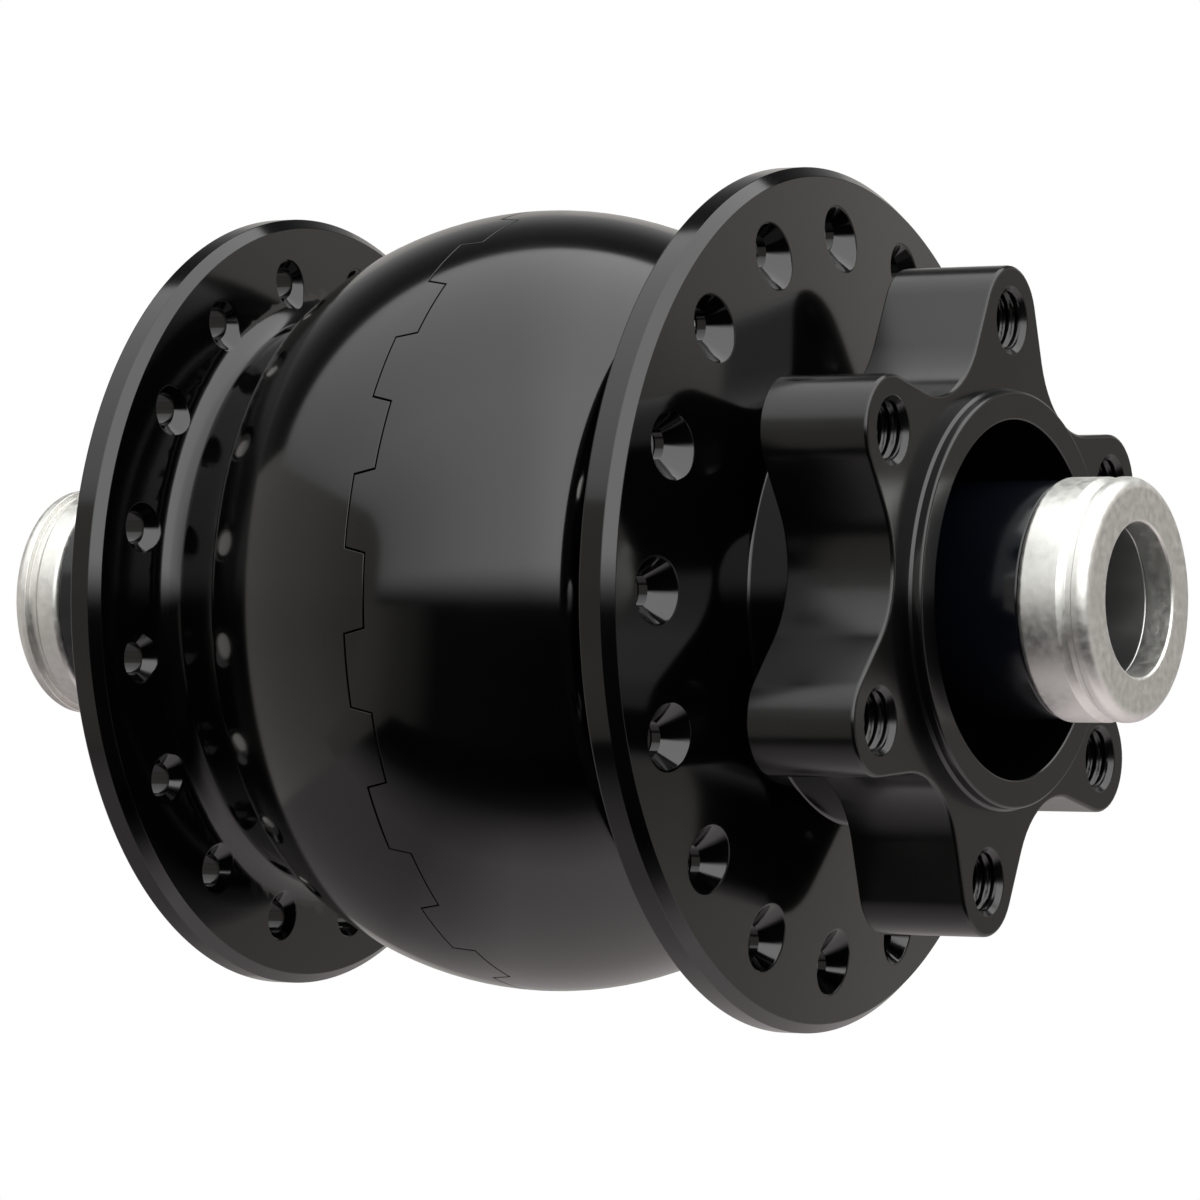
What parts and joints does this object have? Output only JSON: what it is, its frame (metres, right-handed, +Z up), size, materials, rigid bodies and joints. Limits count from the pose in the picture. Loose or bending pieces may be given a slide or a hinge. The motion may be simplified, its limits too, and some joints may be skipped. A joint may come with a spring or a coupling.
{
  "type": "bicycle hub dynamo",
  "caption": "Gloss black bicycle front hub dynamo with a crowned barrel, toothed seam, two drilled spoke flanges, a lobed disc mount, silver end caps and a through axle bore.",
  "frame": {"origin": "on the hub's axis, midway between the outer faces of the two end caps", "axes": "+Y along the axle towards the disc side, +Z up, +X towards the side that the picture shows, with the contact tabs pointing to -X"},
  "size_m": [0.0686, 0.1, 0.0686],
  "materials": {
    "black_shell": "gloss black anodised and polished",
    "silver_cap": "turned and silver anodised",
    "dark_sleeve": "dark blue-black anodised",
    "tube_aluminium": "turned",
    "bearing_steel": "ground",
    "spring_steel": "blackened",
    "stator_steel": "pressed",
    "magnet_nickel": "nickel plated",
    "coil_copper": "enamelled wire",
    "bobbin_plastic": "moulded",
    "cage_plastic": "moulded",
    "terminal_plastic": "moulded, satin",
    "tab_brass": "tin plated",
    "seal_rubber": "moulded"
  },
  "bodies": {
    "axle_unit": {"axle_tube": "tube_aluminium", "left_end_cap": "silver_cap", "right_end_cap": "silver_cap", "left_cap_o_ring": "seal_rubber", "right_cap_o_ring": "seal_rubber", "left_spacer_sleeve": "dark_sleeve", "right_spacer_sleeve": "dark_sleeve", "left_inner_race": "bearing_steel", "right_inner_race": "bearing_steel", "left_stator_spacer": "tube_aluminium", "right_stator_spacer": "tube_aluminium", "stator_core": "stator_steel", "left_claw_pole": "stator_steel", "right_claw_pole": "stator_steel", "coil_bobbin": "bobbin_plastic", "coil_winding": "coil_copper", "lead_wires": "coil_copper", "terminal_ring": "terminal_plastic", "contact_tabs": "tab_brass"},
    "shell_unit": {"left_shell": "black_shell", "right_shell": "black_shell", "flux_ring": "stator_steel", "magnets": "magnet_nickel", "left_outer_race": "bearing_steel", "right_outer_race": "bearing_steel", "left_bearing_seals": "seal_rubber", "right_bearing_seals": "seal_rubber", "left_circlip": "spring_steel", "right_circlip": "spring_steel", "left_dust_cover": "dark_sleeve", "right_dust_cover": "dark_sleeve", "seam_o_rings": "seal_rubber"},
    "left_ball_set": {"left_ball_cage": "cage_plastic", "left_balls": "bearing_steel"},
    "right_ball_set": {"right_ball_cage": "cage_plastic", "right_balls": "bearing_steel"}
  },
  "joints": [
    {"name": "shell_spin", "type": "hinge", "parent": "axle_unit", "child": "shell_unit", "pos_m": [0, 0, 0], "axis": [0, 1, 0], "continuous": true},
    {"name": "left_balls_spin", "type": "hinge", "parent": "axle_unit", "child": "left_ball_set", "pos_m": [0, -0.026, 0], "axis": [0, 1, 0], "continuous": true},
    {"name": "right_balls_spin", "type": "hinge", "parent": "axle_unit", "child": "right_ball_set", "pos_m": [0, 0.0195, 0], "axis": [0, 1, 0], "continuous": true}
  ],
  "couplings": [
    {"joint": "left_balls_spin", "follows": "shell_spin", "ratio": 0.5923},
    {"joint": "right_balls_spin", "follows": "shell_spin", "ratio": 0.5923}
  ]
}
